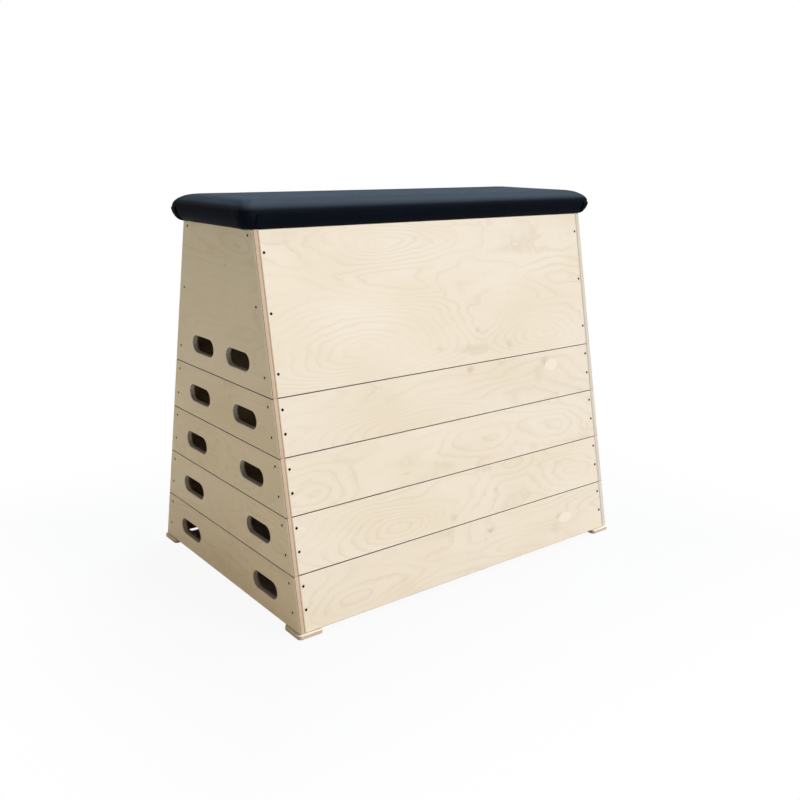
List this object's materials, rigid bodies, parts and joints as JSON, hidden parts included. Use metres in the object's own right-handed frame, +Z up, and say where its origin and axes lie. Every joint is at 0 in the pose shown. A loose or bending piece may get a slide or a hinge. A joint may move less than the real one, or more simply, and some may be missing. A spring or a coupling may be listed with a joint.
{
  "type": "vaulting box",
  "caption": "Free-standing gymnastics vaulting box: tapering birch plywood sections with handholes, stacked on corner posts and lifting apart, under a padded top.",
  "frame": {"origin": "on the floor, under the middle of the box", "axes": "+Z up, +X along the length of the box, +Y across it from the front to the back"},
  "size_m": [1.28, 0.802, 1.1],
  "materials": {
    "birch_ply": "clear satin lacquer over birch veneer",
    "post_wood": "planed softwood, bare",
    "screw": "black phosphate",
    "staple": "bright zinc",
    "vinyl": "semi-gloss artificial leather, fine grain",
    "foam": "open-cell foam"
  },
  "bodies": {
    "section_1": {"section_1_end_left": "birch_ply", "section_1_end_right": "birch_ply", "section_1_long_front": "birch_ply", "section_1_long_back": "birch_ply", "section_1_post_front_left": "post_wood", "section_1_post_back_left": "post_wood", "section_1_post_front_right": "post_wood", "section_1_post_back_right": "post_wood", "section_1_screws": "screw", "foot_front_left": "birch_ply", "foot_back_left": "birch_ply", "foot_front_right": "birch_ply", "foot_back_right": "birch_ply", "foot_screws": "screw"},
    "section_2": {"section_2_end_left": "birch_ply", "section_2_end_right": "birch_ply", "section_2_long_front": "birch_ply", "section_2_long_back": "birch_ply", "section_2_post_front_left": "post_wood", "section_2_post_back_left": "post_wood", "section_2_post_front_right": "post_wood", "section_2_post_back_right": "post_wood", "section_2_screws": "screw"},
    "section_3": {"section_3_end_left": "birch_ply", "section_3_end_right": "birch_ply", "section_3_long_front": "birch_ply", "section_3_long_back": "birch_ply", "section_3_post_front_left": "post_wood", "section_3_post_back_left": "post_wood", "section_3_post_front_right": "post_wood", "section_3_post_back_right": "post_wood", "section_3_screws": "screw"},
    "section_4": {"section_4_end_left": "birch_ply", "section_4_end_right": "birch_ply", "section_4_long_front": "birch_ply", "section_4_long_back": "birch_ply", "section_4_post_front_left": "post_wood", "section_4_post_back_left": "post_wood", "section_4_post_front_right": "post_wood", "section_4_post_back_right": "post_wood", "section_4_screws": "screw"},
    "top_section": {"top_end_left": "birch_ply", "top_end_right": "birch_ply", "top_long_front": "birch_ply", "top_long_back": "birch_ply", "top_post_front_left": "post_wood", "top_post_back_left": "post_wood", "top_post_front_right": "post_wood", "top_post_back_right": "post_wood", "top_screws": "screw", "pad_cleat_front": "post_wood", "pad_cleat_back": "post_wood", "cleat_screws": "screw", "pad_board": "birch_ply", "pad_foam": "foam", "pad_cover": "vinyl", "pad_staples": "staple"}
  },
  "joints": [
    {"name": "lift_section_2", "type": "slide", "parent": "section_1", "child": "section_2", "axis": [0, 0, 1], "range_m": [0, 0.2]},
    {"name": "lift_section_3", "type": "slide", "parent": "section_2", "child": "section_3", "axis": [0, 0, 1], "range_m": [0, 0.2]},
    {"name": "lift_section_4", "type": "slide", "parent": "section_3", "child": "section_4", "axis": [0, 0, 1], "range_m": [0, 0.2]},
    {"name": "lift_top_section", "type": "slide", "parent": "section_4", "child": "top_section", "axis": [0, 0, 1], "range_m": [0, 0.2]}
  ]
}
